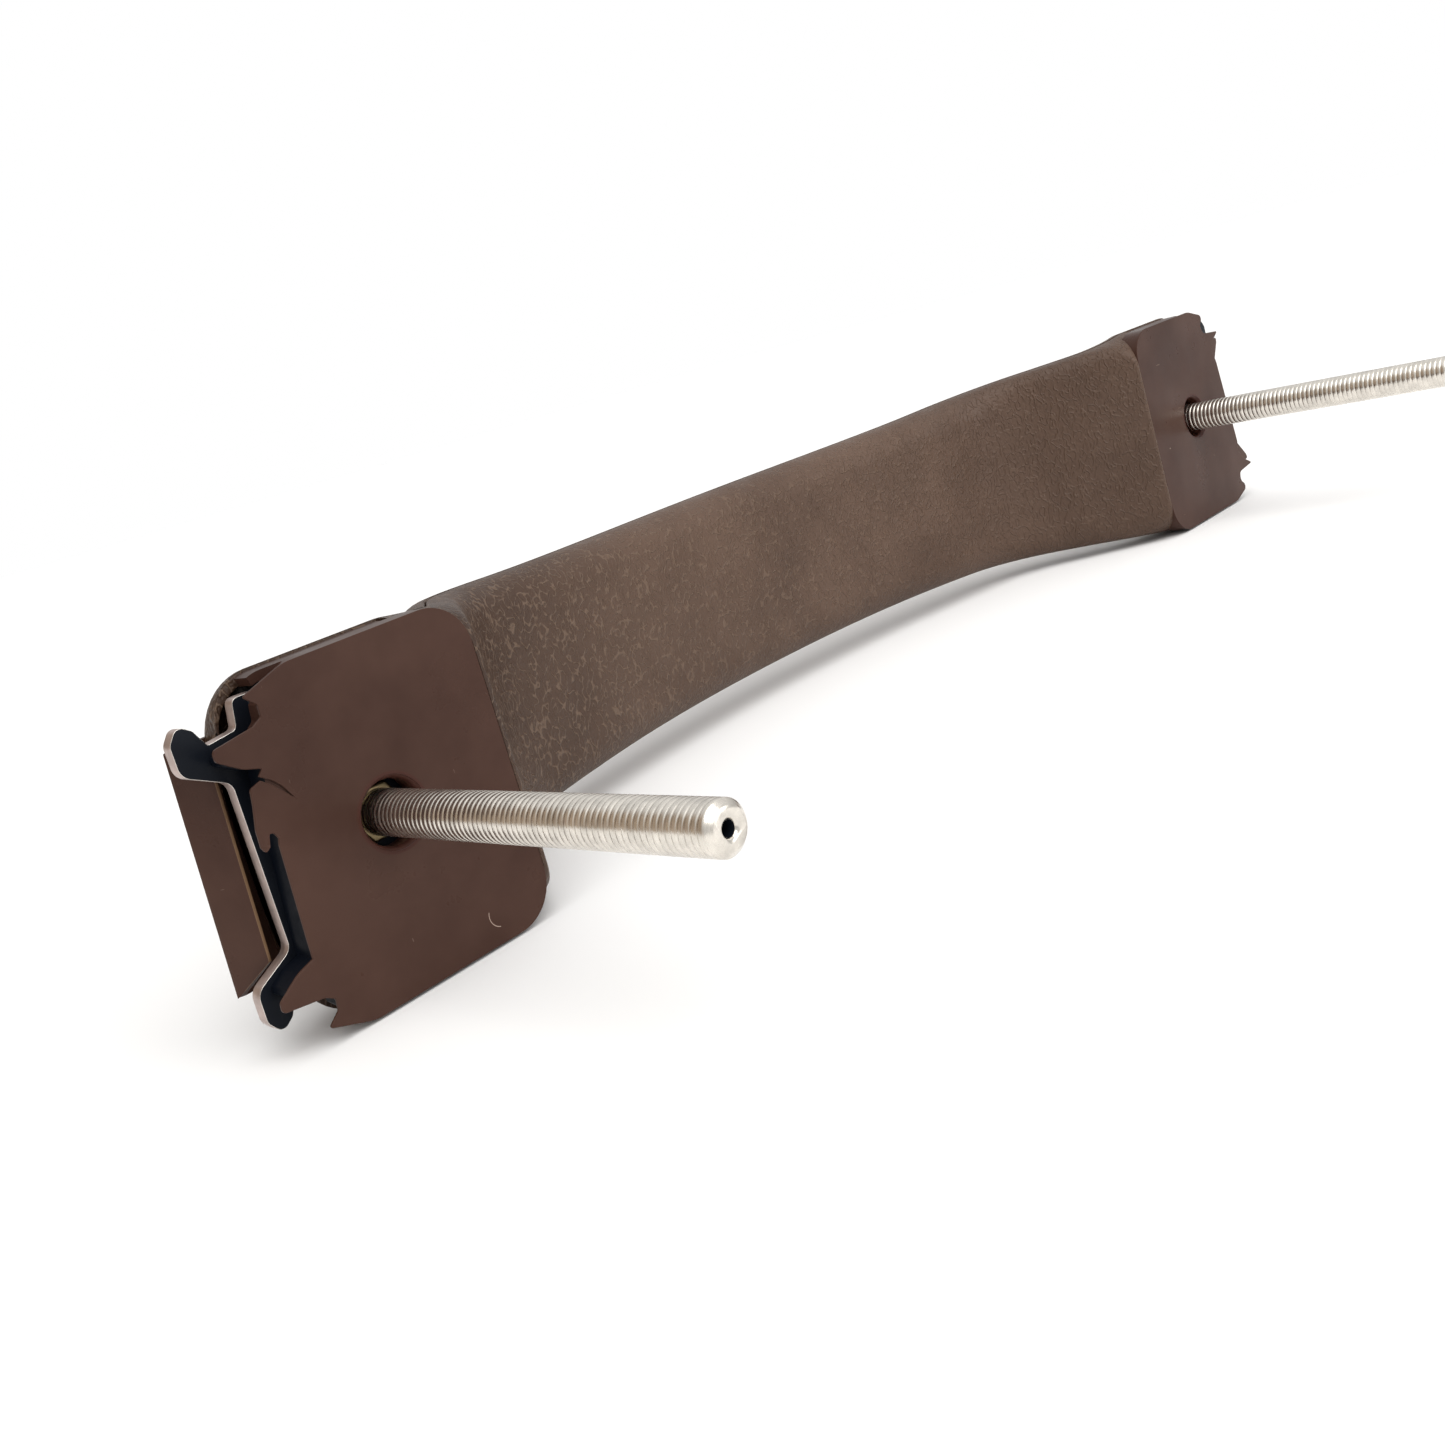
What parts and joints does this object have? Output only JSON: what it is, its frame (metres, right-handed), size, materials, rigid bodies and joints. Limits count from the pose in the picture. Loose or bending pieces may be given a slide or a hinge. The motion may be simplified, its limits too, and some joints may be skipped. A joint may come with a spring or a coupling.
{
  "type": "padded strap handle",
  "caption": "Bowed padded strap handle with a steel core, smooth toothed end plates and a long threaded stud at each end.",
  "frame": {"origin": "on the mounting plane, midway between the two studs' centre lines", "axes": "+X along the handle towards the right end, +Y the way the studs point into the panel, +Z across the handle's width; the grip bows to -Y"},
  "size_m": [0.3498, 0.1476, 0.06],
  "materials": {
    "blued_steel": "dark blued spring steel with bright bare edges",
    "grained_vinyl": "dark brown vinyl with a pebbled leather grain, soft sheen",
    "front_grained_vinyl": "dark brown vinyl with a pebbled leather grain, soft sheen",
    "foam": "dark moulded foam",
    "smooth_vinyl": "dark brown, smooth and slightly glossy, with fine scratches",
    "stud_steel": "bright plated steel with a rolled thread",
    "plated_steel": "bright zinc-plated steel"
  },
  "bodies": {
    "root": {"core_strip": "blued_steel", "grip_back_cover": "grained_vinyl", "front_cover": "front_grained_vinyl", "foam_core": "foam", "right_end_plate": "smooth_vinyl", "left_end_plate": "smooth_vinyl", "right_stud": "stud_steel", "left_stud": "stud_steel", "right_washer": "plated_steel", "left_washer": "plated_steel", "right_nut": "plated_steel", "left_nut": "plated_steel"}
  },
  "joints": []
}
